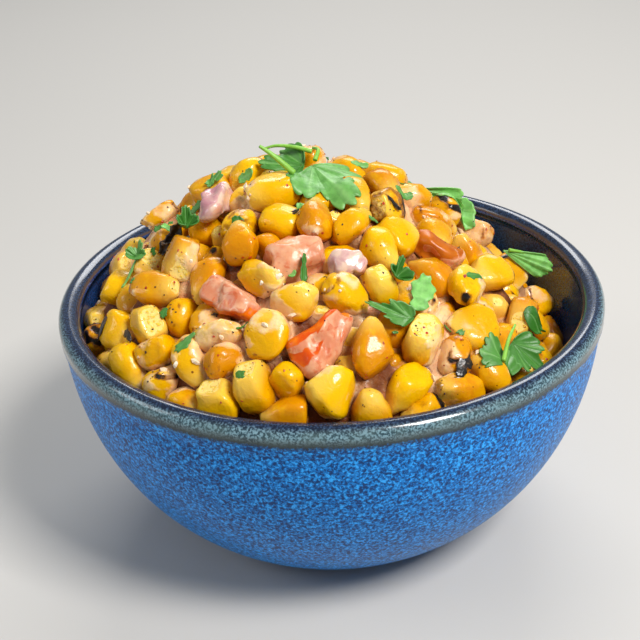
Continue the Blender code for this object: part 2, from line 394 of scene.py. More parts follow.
def settleKernels(half, cut, placed, hold, chance, steps):
    # Each kernel is five balls that keep their places in it: two at its crown, two below them and one at its
    # tip. Balls that overlap are moved apart, then each kernel takes the turn and place that fit its balls
    # best. A layer under the heap's surface holds them in.
    count = len(half)
    a, b, c = half.T
    r = 0.93 * b
    zero = np.zeros(count)
    shape = np.stack([np.stack([a - r, zero, c - r - 0.2], -1),
                      np.stack([r - a, zero, c - r - 0.2], -1),
                      np.stack([0.6 * (a - r), zero, -0.12 * c], -1),
                      np.stack([0.6 * (r - a), zero, -0.12 * c], -1),
                      np.stack([zero, zero, -c * cut + 0.75 * r], -1)], 1)
    radius = np.stack([r, r, r * 0.97, r * 0.97, r * 0.84], 1).ravel()
    middle = shape.mean(1, keepdims=True)
    rest = shape - middle
    spots, turns = placed
    balls = spots[:, None] + turnedBy(turns, rest)
    owner = np.repeat(np.arange(count), 5)
    allowance = np.repeat(np.where(hold > 0, shell["proudPlaced"], chance.uniform(*shell["proud"], count)), 5)
    loose = np.repeat(1 - hold, 5)[:, None]
    for step in range(steps):
        p = balls.reshape(-1, 3)
        if step % settling["every"] == 0:
            q = p.astype(np.float32)
            square = (q * q).sum(1)
            within = (radius[:, None] + radius[None] + settling["margin"]) ** 2
            i, j = np.nonzero(np.triu(square[:, None] + square[None] - 2 * q @ q.T < within, 1))
            keep = owner[i] != owner[j]
            i, j = i[keep], j[keep]
        apart = p[i] - p[j]
        gap = np.linalg.norm(apart, axis=1)
        push = np.maximum(radius[i] + radius[j] - gap, 0) / np.maximum(gap, 1e-6) * 0.5
        hit = push > 0
        shove = apart[hit] * push[hit][:, None]
        move = np.zeros_like(p)
        for k in range(3):
            move[:, k] = np.bincount(i[hit], shove[:, k], len(p)) - np.bincount(j[hit], shove[:, k], len(p))
        times = np.bincount(i[hit], minlength=len(p)) + np.bincount(j[hit], minlength=len(p))
        p = p + move / np.maximum(times, 1)[:, None] * settling["apart"] * loose
        # held between the heap's surface and the core, inside the wall and clear of the chopped pieces
        n = heapNormal(p[:, 0], p[:, 1])
        off = (p[:, 2] - heapHeight(p[:, 0], p[:, 1])) * n[:, 2]
        p = p - n * np.maximum(off + radius - allowance, 0)[:, None] * settling["layer"]
        p = p + n * np.maximum(-shell["depth"] + radius - off, 0)[:, None] * settling["layer"]
        p = p - n * settling["fall"] * loose
        out = np.hypot(p[:, 0], p[:, 1])
        wall = np.where(p[:, 2] < bowl["top"] + 1, wallRadius(p[:, 2]), 1e3)
        past = np.maximum(out + radius - 0.3 - wall, 0)
        p[:, :2] -= p[:, :2] / np.maximum(out, 1e-6)[:, None] * past[:, None]
        for centre, axes, size in chunks.values():
            grown = size * 0.96 + radius[:, None] * 0.92
            local = ((p - centre) @ axes.T) / grown
            reach = np.linalg.norm(local, axis=1)
            inside = reach < 1
            onto = local[inside] / np.maximum(reach[inside], 1e-3)[:, None]
            p[inside] += settling["chunk"] * ((onto - local[inside]) * grown[inside]) @ axes
        balls = p.reshape(count, 5, 3)
        centre = balls.mean(1, keepdims=True)
        u, _, vt = np.linalg.svd(np.einsum("nki,nkj->nij", balls - centre, rest))
        flip = np.ones((count, 3))
        flip[:, 2] = np.linalg.det(u @ vt)
        turns = (u * flip[:, None]) @ vt
        balls = centre + turnedBy(turns, rest)
    p = balls.reshape(-1, 3)
    gap = np.linalg.norm(p[i] - p[j], axis=1)
    over = np.maximum(radius[i] + radius[j] - gap, 0)
    print("kernels overlap by", round(float(over.mean()), 3), "mm, at most", round(float(over.max()), 2))
    return balls.mean(1) - np.einsum("nij,nj->ni", turns, middle[:, 0]), turns


# kernels that lie where they show most: x, y, rise over the heap, the crown's heading in the plane that faces
# the diner, how far its tip tips towards them, its roll, its kind, and how wide, thick and long it is for it
shown = np.array([
    (-7.1, -36.5, 0.3, 225, 55, 0, 1, 1.00, 1.00, 1.00), (-10.7, -42.2, 0.3, 250, 8, 20, 1, 1.05, 1.05, 1.10),
    (0.2, -33.9, 1.0, 95, 0, 65, 0, 1.00, 1.00, 1.05), (6.9, -34.0, 0.3, 205, 48, 0, 1, 0.95, 0.95, 0.95),
    (5.5, -47.2, 0.8, 268, -6, 10, 0, 1.00, 1.05, 1.20), (15.3, -42.0, 0.5, 265, 22, 0, 1, 1.25, 1.10, 1.10),
    (-15.7, -48.0, 0.5, 235, 58, 10, 1, 1.15, 1.10, 1.10), (-2.5, -51.5, 0.3, 310, 12, 0, 1, 1.10, 1.10, 1.10),
    (12.6, -49.8, 0.3, 50, 0, 30, 0, 0.95, 1.00, 1.05), (-8.8, -50.9, -0.8, 85, 0, 70, 0, 0.95, 0.90, 1.00),
    (22.8, -48.5, 0.3, 335, 0, 60, 1, 1.00, 0.95, 1.15), (4.3, -55.2, 0.0, 300, -25, 0, 0, 1.00, 1.00, 1.00),
    (-8.2, -55.0, 0.3, 0, 0, 15, 1, 1.05, 1.00, 1.20), (-16.6, -33.1, 0.3, 200, 10, 0, 2, 1.05, 1.10, 1.00),
    (-21.4, -44.3, 0.0, 180, -45, 0, 0, 0.95, 1.00, 0.95), (-15.7, -26.0, 0.3, 300, -30, 0, 0, 0.95, 0.95, 0.95),
    (-22.3, -50.0, 0.5, 320, 0, 20, 1, 0.95, 1.00, 1.00), (-27.1, -44.1, 0.3, 60, -15, 0, 0, 1.00, 1.00, 1.00),
    (-12.7, -8.9, 1.2, 48, 0, 0, 0, 1.20, 1.15, 1.20), (-18.6, 2.7, 1.0, 70, -20, 0, 0, 1.00, 1.00, 0.95),
    (-31.2, -18.0, 0.6, 180, 5, 10, 1, 1.10, 1.00, 1.10), (-46.1, -8.5, 0.5, 175, 0, 15, 0, 1.10, 1.00, 1.15),
    (-43.3, -24.6, 0.0, 150, 20, 0, 1, 1.00, 0.95, 1.00), (-35.8, -36.6, 0.3, 150, 0, 0, 1, 0.95, 0.95, 1.00),
    (-35.4, -29.9, 0.3, 230, 25, 0, 1, 1.00, 1.00, 0.95), (-28.4, -46.8, 0.0, 200, 10, 0, 1, 0.90, 0.95, 0.95),
    (26.7, -35.5, 0.3, 20, 15, 0, 1, 1.15, 1.00, 1.10), (30.3, -42.7, 0.3, 320, 0, 0, 0, 0.95, 1.00, 1.00),
    (38.8, -21.5, 0.0, 170, 40, 0, 1, 1.05, 1.00, 1.05), (34.7, 9.0, 0.8, 0, -30, 0, 0, 1.10, 1.05, 1.05),
    (9.4, -25.0, 0.5, 170, 15, 0, 0, 1.00, 1.00, 1.00), (-1.4, -21.0, 0.5, 260, 0, 30, 0, 0.95, 0.95, 1.00),
    (-35.8, -22.1, 0.3, 170, 0, 0, 0, 1.05, 1.00, 1.05), (23.9, -24.9, 0.6, 250, 15, 0, 3, 1.00, 1.00, 1.05),
    (11.0, -11.4, 0.6, 0, 20, 0, 3, 0.95, 0.90, 0.95), (16.7, -52.5, 0.3, 10, 25, 0, 3, 0.95, 0.90, 0.95),
    (33.2, -13.9, 0.4, 30, 0, 20, 1, 0.95, 0.95, 1.05), (13.0, -1.0, 1.0, 100, 10, 0, 0, 1.00, 1.00, 1.00),
    (-25.0, 1.0, 0.8, 150, 35, 0, 1, 1.00, 0.95, 1.00), (6.5, -9.6, 0.8, 90, 0, 60, 0, 0.95, 0.95, 1.15),
    (25.3, 1.4, 0.8, 10, -20, 0, 3, 1.10, 1.00, 1.00), (50.0, 7.8, -0.5, 200, 0, 0, 0, 1.00, 1.00, 1.00),
    (-41.8, -35.6, 0.0, 80, 0, 30, 0, 0.95, 0.95, 1.05), (-34.8, -42.4, 0.0, 100, 0, 10, 0, 1.00, 1.00, 1.00),
    (-48.4, -28.1, 0.0, 200, 35, 0, 1, 0.90, 0.90, 0.95), (3.1, -22.0, 0.5, 200, 0, 30, 0, 0.95, 0.90, 0.95),
    (-21.6, -39.0, 0.3, 10, 10, 0, 2, 1.05, 0.90, 1.00), (21.3, -43.4, -0.3, 90, 20, 0, 1, 0.95, 1.00, 0.95),
    (18.5, -1.9, 0.8, 330, 10, 0, 0, 0.95, 0.95, 1.00), (5.6, 6.8, 1.0, 330, 0, 20, 0, 1.00, 0.95, 1.00),
    (-3.0, 7.5, 2.0, 80, -10, 20, 0, 0.95, 0.95, 0.90), (43.5, 9.5, 0.4, 125, 45, 0, 1, 1.00, 0.95, 1.05),
    (13.0, 8.0, 1.5, 15, 0, 0, 0, 1.00, 1.00, 1.05), (-37.0, 6.0, 1.0, 0, 0, 50, 2, 0.90, 0.90, 1.10),
])


def shownTurns(rows):
    # the crown's way lies in the plane that faces the diner, tipped away from them as the tip tips towards them
    right, up, away = (np.array(v) for v in (camRight, camUp, -ahead))
    head, tipped, roll = np.radians(rows[:, 3:6]).T[..., None]
    flat = right * np.cos(head) + up * np.sin(head)
    crown = flat * np.cos(tipped) - away * np.sin(tipped)
    face = away * np.cos(tipped) + flat * np.sin(tipped)
    side = np.cross(face, crown)
    rolled = side * np.cos(roll) + face * np.sin(roll)
    return np.stack([rolled, face * np.cos(roll) - side * np.sin(roll), crown], -1)


chance = np.random.default_rng(shell["seed"])
kinds = chance.choice(4, shell["count"], p=[kind["often"] for kind in kernelKinds.values()])
sizes = chance.uniform(0.88, 1.12, (shell["count"], 3))
kinds[:len(shown)] = shown[:, 6]
sizes[:len(shown)] = shown[:, 7:10]
half = ofKind("half") * sizes
cut = ofKind("cut") + ofKind("cutMore") * chance.random(shell["count"])

# starting places: spread evenly over the heap's sloping area, clear of the kernels that are already placed
azimuth, share = np.meshgrid(np.arange(0, 360, 2.0), (np.arange(60) + 0.5) / 60, indexing="ij")
spots = heapSurface(azimuth, share).reshape(-1, 3)
normals = heapUnder(spots[:, 0], spots[:, 1])[1]
weight = share.ravel() / normals[:, 2]
loose = shell["count"] - len(shown)
picked = chance.choice(len(spots), loose, replace=False, p=weight / weight.sum())
crowd = np.hypot(spots[picked, 0][:, None] - shown[:, 0], spots[picked, 1][:, None] - shown[:, 1]).min(1)
deep = chance.uniform(-shell["depth"] + 2.0, -5.0, loose)
anywhere = chance.uniform(-shell["depth"] + 2.5, 1.0, loose)
sunk = np.where(crowd < 6.5, deep, anywhere)
shownRise = heapHeight(shown[:, 0], shown[:, 1]) + shown[:, 2]
start = np.concatenate([np.stack([shown[:, 0], shown[:, 1], shownRise], -1),
                        spots[picked] + normals[picked] * sunk[:, None]])
startTurns = np.concatenate([shownTurns(shown), randomTurns(loose, chance)])
hold = np.concatenate([np.full(len(shown), shell["firm"]), np.zeros(loose)])
places, turns = settleKernels(half, cut, (start, startTurns), hold, chance, shell["steps"])


# kernels' shapes

def kernelShapes(half, cut, chance, rings, columns):
    # Each kernel is a superellipsoid: x = a sinPhi^e cosTheta^f, y = b sinPhi^e sinTheta^f, z = c cosPhi^e, its
    # crown up. It narrows to its tip, is dented at its crown, bends, and is pressed flat along a few planes by
    # its neighbours on the cob. A plane across its tip cuts it flat. Returns points and, for each, how far it
    # is to the tip and how much of it the cut took off.
    count = len(half)
    phi, theta = (angle[None] for angle in ballAngles(rings, columns))
    blocky = ofKind("blocky")[:, None]
    e = 0.92 - 0.35 * blocky * chance.uniform(0.5, 1.2, (count, 1))
    f = 0.95 - 0.9 * blocky * chance.uniform(0.4, 1.1, (count, 1))
    a, b, c = (half[:, k][:, None] for k in range(3))
    h = power(np.cos(phi), e)
    ring = np.abs(np.sin(phi)) ** e
    narrow = ofKind("narrow")[:, None] * chance.uniform(0.75, 1.25, (count, 1))
    taper = 1 - narrow * ease(-0.35, 1.15, -h)
    x = a * ring * power(np.cos(theta), f) * taper
    y = b * ring * power(np.sin(theta), f) * (1 - 0.6 * (1 - taper))
    z = c * h
    dent = ofKind("dent")[:, None] * chance.uniform(0.2, 1.3, (count, 1))
    z -= dent * np.exp(-((x / a) ** 2 * 2.2 + (y / b) ** 2 * 3.4)) * (h > 0)
    x += chance.normal(0, 0.35, (count, 1)) * (z / c) ** 2
    y += chance.normal(0, 0.45, (count, 1)) * (z / c) ** 2
    points = np.stack([x, y, z], -1)
    # pressed sides: the two narrow sides, the two broad ones and one at random
    sides = np.array([[1, 0, 0], [-1, 0, 0], [0, 1, 0], [0, -1, 0], [0.6, 0.5, 0.5]], float)
    reach = np.array([0, 0, 1, 1, 1])
    for k, side in enumerate(sides):
        way = unit(side + chance.normal(0, 0.22 if k < 4 else 0.8, (count, 3)))[:, None]
        limit = half[:, reach[k]][:, None] * chance.uniform(0.80, 1.02, (count, 1))
        over = (points * way).sum(-1) - limit
        soft = 0.28
        points = points - way * (np.logaddexp(0, over / soft) * soft * 0.8)[..., None]
    # skin a little uneven, and more on the flat, shrunken kind
    rough = ofKind("rough")[:, None]
    where = points + chance.uniform(-200, 200, (count, 1, 3))
    lumps = waves(where.reshape(-1, 3), 3.4, 31).reshape(points.shape[:2])
    points = points + unit(points) * (lumps * rough)[..., None]
    # the cut across the tip, slightly hollow
    tilt = unit(np.concatenate([chance.normal(0, 0.20, (count, 2)), -np.ones((count, 1))], 1))[:, None]
    over = (points * tilt).sum(-1) - (cut * half[:, 2])[:, None]
    taken = np.maximum(over, 0)
    points = points - tilt * (taken + 0.16 * ease(0.25, 1.2, taken))[..., None]
    tip = (half[:, 2][:, None] - points[..., 2]) / (half[:, 2] * (1 + cut))[:, None]
    return points, np.clip(tip, 0, 1), ease(0.05, 0.60, taken)


rings, columns = 19, 24
size = rings * columns + 2
local, tipward, cutFace = kernelShapes(half, cut, chance, rings, columns)
kernels = places[:, None] + turnedBy(turns, local)
kernelFaces = ballFaces(rings, columns)
tone = chance.random(shell["count"])
print("kernels shaped:", shell["count"], "of", size, "points")


# how high the kernels stand, on a grid over the heap

reliefAxis = np.linspace(-62.0, 62.0, 249)
reliefStep = reliefAxis[1] - reliefAxis[0]


def blurred(grid, spread):
    # weighted by exp(-(distance/spread)^2/2) along X, then along Y
    radius = int(3 * spread / reliefStep)
    weights = np.exp(-0.5 * (np.arange(-radius, radius + 1) * reliefStep / spread) ** 2)
    weights /= weights.sum()
    for axis in (0, 1):
        padded = np.pad(grid, [(radius, radius) if k == axis else (0, 0) for k in (0, 1)], mode="edge")
        grid = sum(w * np.take(padded, np.arange(k, k + len(grid)), axis) for k, w in enumerate(weights))
    return grid


smoothHeight = heapHeight(*np.meshgrid(reliefAxis, reliefAxis, indexing="ij"))
tops = smoothHeight - 9.0
flat = kernels.reshape(-1, 3)
cell = np.clip(np.rint((flat[:, :2] - reliefAxis[0]) / reliefStep).astype(int), 0, len(reliefAxis) - 1)
np.maximum.at(tops, (cell[:, 0], cell[:, 1]), flat[:, 2])
for _ in range(2):  # closes the gaps that the points leave between them
    grown = np.maximum.reduce([np.roll(tops, d, k) for d in (-1, 0, 1) for k in (0, 1)])
    tops = np.where(tops < grown - 0.5, grown - 0.4, tops)
near = blurred(tops, 0.9)
wide = blurred(tops, 2.3)


def patches(x, y, spots):
    # 1 in the middle of each (x, y, radius) spot, 0 outside it
    amount = np.zeros(np.shape(x))
    for sx, sy, radius in spots:
        amount = np.maximum(amount, 1 - ease(radius * 0.45, radius, np.hypot(x - sx, y - sy)))
    return amount


# where the dressing lies thick: (x, y, radius)
saucy = [(-24, -40, 8), (-7, -29, 8), (21, -36, 6), (21, -46, 4), (-31, -22, 6), (-20, -10, 6), (8, -20, 6),
         (33, -30, 4), (-3, -52, 5), (-12, -44, 5), (0, 12, 9), (22, 20, 9), (-24, 24, 10), (-40, 6, 7),
         (10, 42, 8), (36, 6, 6)]
# how far it lies under the kernels' blurred tops, how much higher it is where it is thick and its lumps' heights,
# all in mm, then the rows and columns of its grid and the rows that go on down the wall
dressed = {"under": 4.9, "thick": 2.4, "lumps": 0.42, "fineLumps": 0.12, "rows": 96, "around": 300, "skirt": 8}


def dressing(x, y):
    # from 0 to 1, how much of it there is
    flatPoints = np.stack([x, y, np.zeros_like(x)], -1)
    return np.clip(patches(x, y, saucy) * 0.85 + 0.35 * waves(flatPoints, 13.0, 77) + 0.18, 0, 1)


def sauceLevel(x, y):
    # the dressing's height: the kernels' blurred tops, lower where there is little of it
    lots = dressing(x, y)
    flatPoints = np.stack([x, y, np.zeros_like(x)], -1)
    fine = waves(flatPoints, 2.8, 78) * dressed["lumps"] + waves(flatPoints, 1.2, 79) * dressed["fineLumps"]
    return readGrid(wide, x, y, reliefAxis) - dressed["under"] + dressed["thick"] * lots + fine, lots


around = dressed["around"]
shares = np.linspace(0, 1, dressed["rows"])[1:]
azimuth, share = np.meshgrid(np.arange(around) * 360 / around, shares, indexing="ij")
azimuth, share = azimuth.T, share.T
base = heapSurface(azimuth, share)
top = base.copy()
height, lots = sauceLevel(base[..., 0], base[..., 1])
atWall = ease(0.90, 1.0, share)
top[..., 2] = np.minimum(height, base[..., 2] + 2.5) * (1 - atWall) + (base[..., 2] - 4.0) * atWall
edge = np.hypot(top[-1, :, 0], top[-1, :, 1])
top[-1, :, :2] *= ((wallRadius(top[-1, :, 2]) - 0.25) / edge)[:, None]
bottom = bowl["floor"] + 0.3
skirt = []
for k in range(1, dressed["skirt"] + 1):  # down the bowl's inside
    low = top[-1, :, 2] + (bottom - top[-1, :, 2]) * (k / dressed["skirt"]) ** 0.8
    reach = np.maximum(wallRadius(low - 0.3) - 0.3, 0.0) if k < dressed["skirt"] else np.full(around, 12.0)
    turn = np.radians(azimuth[0])
    skirt.append(np.stack([reach * np.cos(turn), reach * np.sin(turn), low], -1))
surface = np.concatenate([top, np.stack(skirt)])
points = np.concatenate([[top[0].mean(0)], surface.reshape(-1, 3), [[0, 0, bottom]]])
# under: how far the dressing lies below the kernels' tops, which its material darkens as painted shade
under = readGrid(near, points[:, 0], points[:, 1], reliefAxis) - points[:, 2]
creamy = np.concatenate([[lots[0].mean()], lots.ravel(), np.full(dressed["skirt"] * around + 1, 0.2)])
dressingPiece = addPiece("dressing", points, list(ballFaces(len(surface), around)),
                         {"lots": creamy, "under": np.clip(under / 6, 0, 1)})
print("dressing laid")


# kernels, one piece for each kind

kx, ky, kz = kernels[..., 0], kernels[..., 1], kernels[..., 2]
sauceZ, lotsHere = sauceLevel(kx, ky)
climb = 1 - ease(-0.2, 2.9, kz - sauceZ)
smear = ease(0.36, 0.90, lotsHere + 0.35 * waves(kernels.reshape(-1, 3), 5.0, 91).reshape(kx.shape))
sauce = np.clip(climb * (0.35 + 0.65 * lotsHere) + 0.68 * smear, 0, 1)
shift = chance.uniform(-300, 300, (shell["count"], 1, 3))
# low: 1 where a kernel's skin lies deep under the kernels' blurred tops, where the corn material paints shade
low = 1 - ease(-5.0, -0.6, kz - readGrid(wide, kx, ky, reliefAxis))
burnField = waves((local + shift).reshape(-1, 3), 6.5, 92).reshape(kx.shape)
burnt = ofKind("burnt")[:, None] + chance.uniform(-0.12, 0.24, (shell["count"], 1))
crownEdge = np.exp(-((tipward - 0.12) / 0.07) ** 2)
ringed = 1 - np.abs(burnField - 0.25) / 0.9
char = np.clip(burnt + 0.78 * crownEdge * (0.6 + 0.6 * burnField) + 0.20 * ringed, 0, 1)
roast = np.clip(chance.random((shell["count"], 1)) * 1.5 - 0.75, 0, 1) * ease(-0.4, 0.8, burnField)


def kernelLook():
    look = Look("corn", Roughness=0.30, Subsurface_Weight=0.30, Subsurface_Scale=0.0026, Coat_Weight=0.34,
                Coat_Roughness=0.08, Specular_IOR_Level=0.14, Subsurface_Radius=(1.0, 0.78, 0.04))
    tone = look.tint("tone")
    skin = look.mix(tone.ease(0.05, 0.45), paint(206, 133, 0), paint(224, 163, 0))
    skin = look.mix(tone.ease(0.50, 0.98), skin, paint(236, 181, 0))
    skin = look.mix(look.noise(3.2).ease(0.52, 0.80) * 0.5, skin, paint(243, 192, 0))
    skin = look.mix(look.tint("roast") * look.noise(1.6, 3.0).ease(0.25, 0.65) * 0.8, skin, paint(196, 92, 10))
    # painted shade: deeper amber where the skin lies low between the kernels
    skin = look.mix(look.tint("low") * 0.75, skin, paint(176, 98, 0))
    tipGlow = look.tint("tip").ease(0.62, 0.98)
    skin = look.mix(tipGlow * 0.55, skin, paint(238, 204, 96))
    grain = look.noise(0.75, 3.0).ease(0.50, 0.66)
    face = look.mix(grain * 0.9, paint(250, 220, 128), paint(246, 198, 50))
    faceMask = (look.tint("cut") + (look.noise(1.4, 2.0) - 0.5) * 0.5).ease(0.50, 0.95)
    body = look.mix(faceMask, skin, face)
    cloud = look.noise(2.2, 3.0)
    sauceMask = (look.tint("sauce") + (cloud - 0.5) * 1.1).ease(0.34, 0.80)
    cream = look.mix(look.noise(4.0).ease(0.4, 0.65), paint(243, 212, 164), paint(231, 182, 132))
    body = look.mix(sauceMask * 0.80, body, cream)
    specks = look.dots(1.7, 0.20, 0.11) + look.dots(2.6, 0.30, 0.08)
    body = look.mix(specks.math("MINIMUM", specks, 1.0) * 0.85, body, paint(96, 34, 10))
    charNoise = look.tint("char") + (look.noise(1.3, 4.0) - 0.5) * 0.5
    body = look.mix(charNoise.ease(0.22, 0.46) * 0.8, body, paint(132, 66, 10))
    black = charNoise.ease(0.44, 0.56)
    body = look.mix(black, body, paint(24, 17, 14))
    look.feed("Base Color", body)
    look.feed("Roughness", 0.26 + sauceMask * 0.08 + faceMask * 0.22 + black * 0.2)
    wrinkles = look.noise(1.5, 3.0, 0.6, 0.8)
    relief = wrinkles * 0.9 + cloud * 0.5 + sauceMask * 0.5 + grain * faceMask * 0.8
    look.bump(relief - black * look.noise(0.5), 0.20)
    return look.material


cornLook = kernelLook()
for k, kind in enumerate(kernelKinds):
    mine = np.nonzero(kinds == k)[0]
    faces = [repeated(f, len(mine), size) for f in kernelFaces]
    piece = addPiece("corn_" + kind, kernels[mine], faces, {
        "tone": np.repeat(tone[mine], size), "tip": tipward[mine], "cut": cutFace[mine], "sauce": sauce[mine],
        "char": char[mine], "roast": roast[mine], "low": low[mine]})
    finished(piece, cornLook)
    print(piece.name, len(mine), "kernels,", sum(len(f) * (f.shape[1] - 2) for f in faces), "triangles")


def dressingLook():
    look = Look("dressing", Roughness=0.46, Subsurface_Weight=0.12, Subsurface_Scale=0.0015, Coat_Weight=0.12,
                Coat_Roughness=0.15, IOR=1.36, Subsurface_Radius=(1.0, 0.5, 0.3))
    lots = look.tint("lots") + (look.noise(2.4, 3.0) - 0.5) * 0.6
    under = look.tint("under")
    body = look.mix(lots.ease(0.10, 0.60), paint(200, 130, 40), paint(236, 192, 144))
    body = look.mix(look.noise(2.6, 3.0).ease(0.50, 0.66) * 0.7, body, paint(222, 148, 106))
    body = look.mix(look.noise(1.1, 3.0).ease(0.58, 0.70) * 0.8, body, paint(242, 216, 176))
    # painted shade: dark brown where the dressing lies deep between the kernels, less where there is lots of it
    below = (under + (look.noise(3.0) - 0.5) * 0.3).ease(0.42, 1.05)
    body = look.mix(below * (1 - lots.ease(0.55, 0.9) * 0.6), body, paint(104, 48, 6))
    body = look.mix(look.dots(1.5, 0.22, 0.30), body, paint(110, 30, 10))
    look.feed("Base Color", body)
    look.bump(look.noise(1.4, 4.0, 0.65), 0.8)
    return look.material


finished(dressingPiece, dressingLook(), "corn_salad")


# tomato and onion

def choppedShape(name, edges, narrow, bend, seed, rings, columns):
    # a superellipsoid in the node's own box, |x|^(2/edges) + ... = 1, narrower to one end, bowed by
    # bend * (1 - x^2), with uneven faces
    centre, axes, half = chunks[name]
    phi, theta = ballAngles(rings, columns)
    ring = np.sin(phi) ** edges
    x = ring * power(np.cos(theta), edges)
    y = ring * power(np.sin(theta), edges)
    z = power(np.cos(phi), edges)
    y *= 1 - narrow * (x + 1) / 2
    z += bend * (1 - x * x)
    points = np.stack([x, y, z], -1) * half * 0.97
    points = centre + points @ (axes * np.sign(np.linalg.det(axes)))
    lumps = waves(points, 6.5, seed) * 0.75 + waves(points, 2.8, seed + 1) * 0.22
    points += unit(points - centre) * lumps[:, None]
    points += axes[2] * (waves(points, 9.0, seed + 2) * 0.55)[:, None]
    return points


def choppedPiece(name, skinWay, look, narrow=0.3, bend=0.15, edges=0.55, wetWay=(0.7, -0.5, -0.4), roast=0.0):
    # its skin is where it faces skinWay; the dressing is low down and where it faces wetWay
    rings, columns = 30, 44
    points = choppedShape(name, edges, narrow, bend, 40 + chunkNames.index(name), rings, columns)
    piece = addPiece(name + "_piece", points, list(ballFaces(rings, columns)))
    normals = np.array([v.normal for v in piece.data.vertices])
    way = np.array(skinWay, float) / np.linalg.norm(skinWay)
    addTint(piece.data, "skin", ease(0.30, 0.60, normals @ way))
    level, lots = sauceLevel(points[:, 0], points[:, 1])
    wet = (1 - ease(-0.5, 3.2, points[:, 2] - level)) * (0.5 + 0.5 * lots)
    wet += 0.6 * ease(0.1, 0.9, normals @ np.array(wetWay))
    addTint(piece.data, "roast", np.full(len(points), roast))
    addTint(piece.data, "sauce", np.clip(wet, 0, 1))
    finished(piece, look, name)


def sauced(look, body):
    # the dressing over a chopped piece, low down and in smears
    cover = (look.tint("sauce") + (look.noise(3.4, 3.0) - 0.5) * 0.7).ease(0.40, 0.80)
    cream = look.mix(look.noise(3.0), paint(230, 178, 136), paint(216, 146, 112))
    return look.mix(cover * 0.78, body, cream), cover


def tomatoLook():
    look = Look("tomato", Roughness=0.30, Subsurface_Weight=0.22, Subsurface_Scale=0.0022, Coat_Weight=0.06,
                Coat_Roughness=0.10, Specular_IOR_Level=0.3, Subsurface_Radius=(1.0, 0.55, 0.20))
    skin = look.mix(look.noise(6.0, 3.0).ease(0.35, 0.65), paint(206, 72, 4), paint(240, 134, 22))
    skin = look.mix(look.tint("roast"), skin, look.mix(look.noise(3.0), paint(150, 66, 8), paint(206, 120, 20)))
    flesh = look.mix(look.noise(3.2, 3.0).ease(0.34, 0.68), paint(208, 130, 94), paint(226, 172, 136))
    flesh = look.mix(look.noise(2.2, 4.0, warp=1.0).ease(0.54, 0.64) * 0.6, flesh, paint(204, 88, 40))
    body = look.mix((look.tint("skin") + (look.noise(4.0) - 0.5) * 0.4).ease(0.35, 0.6), flesh, skin)
    body, cover = sauced(look, body)
    body = look.mix(look.dots(1.8, 0.20, 0.2), body, paint(80, 20, 10))
    look.feed("Base Color", body)
    look.bump(look.noise(2.2, 2.0) * (1 - look.tint("skin") * 0.8) + cover * 0.4, 0.22)
    return look.material


def onionLook():
    look = Look("onion", Roughness=0.25, Subsurface_Weight=0.35, Subsurface_Scale=0.0030, Coat_Weight=0.4,
                Coat_Roughness=0.10, Subsurface_Radius=(1.0, 0.8, 0.7))
    layers = look.noise(2.6, 2.0, warp=0.6)
    body = look.mix(layers.ease(0.40, 0.66), paint(222, 192, 172), paint(198, 152, 150))
    body = look.mix(look.tint("skin").ease(0.5, 1.0) * 0.5, body, paint(186, 112, 132))
    body, cover = sauced(look, body)
    look.feed("Base Color", body)
    look.bump(layers + cover * 0.5, 0.25)
    return look.material


tomato, onion = tomatoLook(), onionLook()
choppedPiece("tomato_front", (-0.65, 0.10, 0.75), tomato, narrow=0.55, bend=0.1, edges=0.62)
choppedPiece("tomato_left", (0.1, -0.75, -0.55), tomato, wetWay=(0.0, 0.4, 0.9))
choppedPiece("tomato_top", (0.1, 0.9, 0.1), tomato, wetWay=(0.4, -0.3, 0.8))
choppedPiece("tomato_right", (-0.2, -0.5, 0.8), tomato, roast=0.9)
choppedPiece("onion_centre", (0.2, 0.8, 0.5), onion, narrow=0.15, bend=0.3)
choppedPiece("onion_left", (-0.5, 0.2, 0.8), onion, narrow=0.2, bend=0.3)
print("chopped pieces made")


# herbs

def herbFrame(x, y, rise, heading, lift, roll):
    # a place over the heap and three ways: along the leaf, across it and out of it. The leaf's way is a heading
    # in the plane that faces the diner, laid onto the heap and lifted from it.
    atX, atY = np.array([x]), np.array([y])
    spot = np.array([x, y, float(heapHeight(atX, atY)[0]) + rise])
    out = unit(heapNormal(atX, atY)[0] + 0.35 * np.array(-ahead))
    turn = math.radians(heading)
    way = np.array(camRight) * math.cos(turn) + np.array(camUp) * math.sin(turn)
    way = unit(way - out * (way @ out))
    raised = math.radians(lift)
    way, out = way * math.cos(raised) + out * math.sin(raised), out * math.cos(raised) - way * math.sin(raised)
    across = np.cross(out, way)
    leaned = math.radians(roll)
    aside = across * math.cos(leaned) + out * math.sin(leaned)
    return spot, way, aside, out * math.cos(leaned) - across * math.sin(leaned)


def settleOn(points, clearance):
    # lifts points out of the kernels under them
    low = readGrid(near, points[:, 0], points[:, 1], reliefAxis) + clearance
    points[:, 2] += np.logaddexp(0, (low - points[:, 2]) / 0.5) * 0.5
    return points


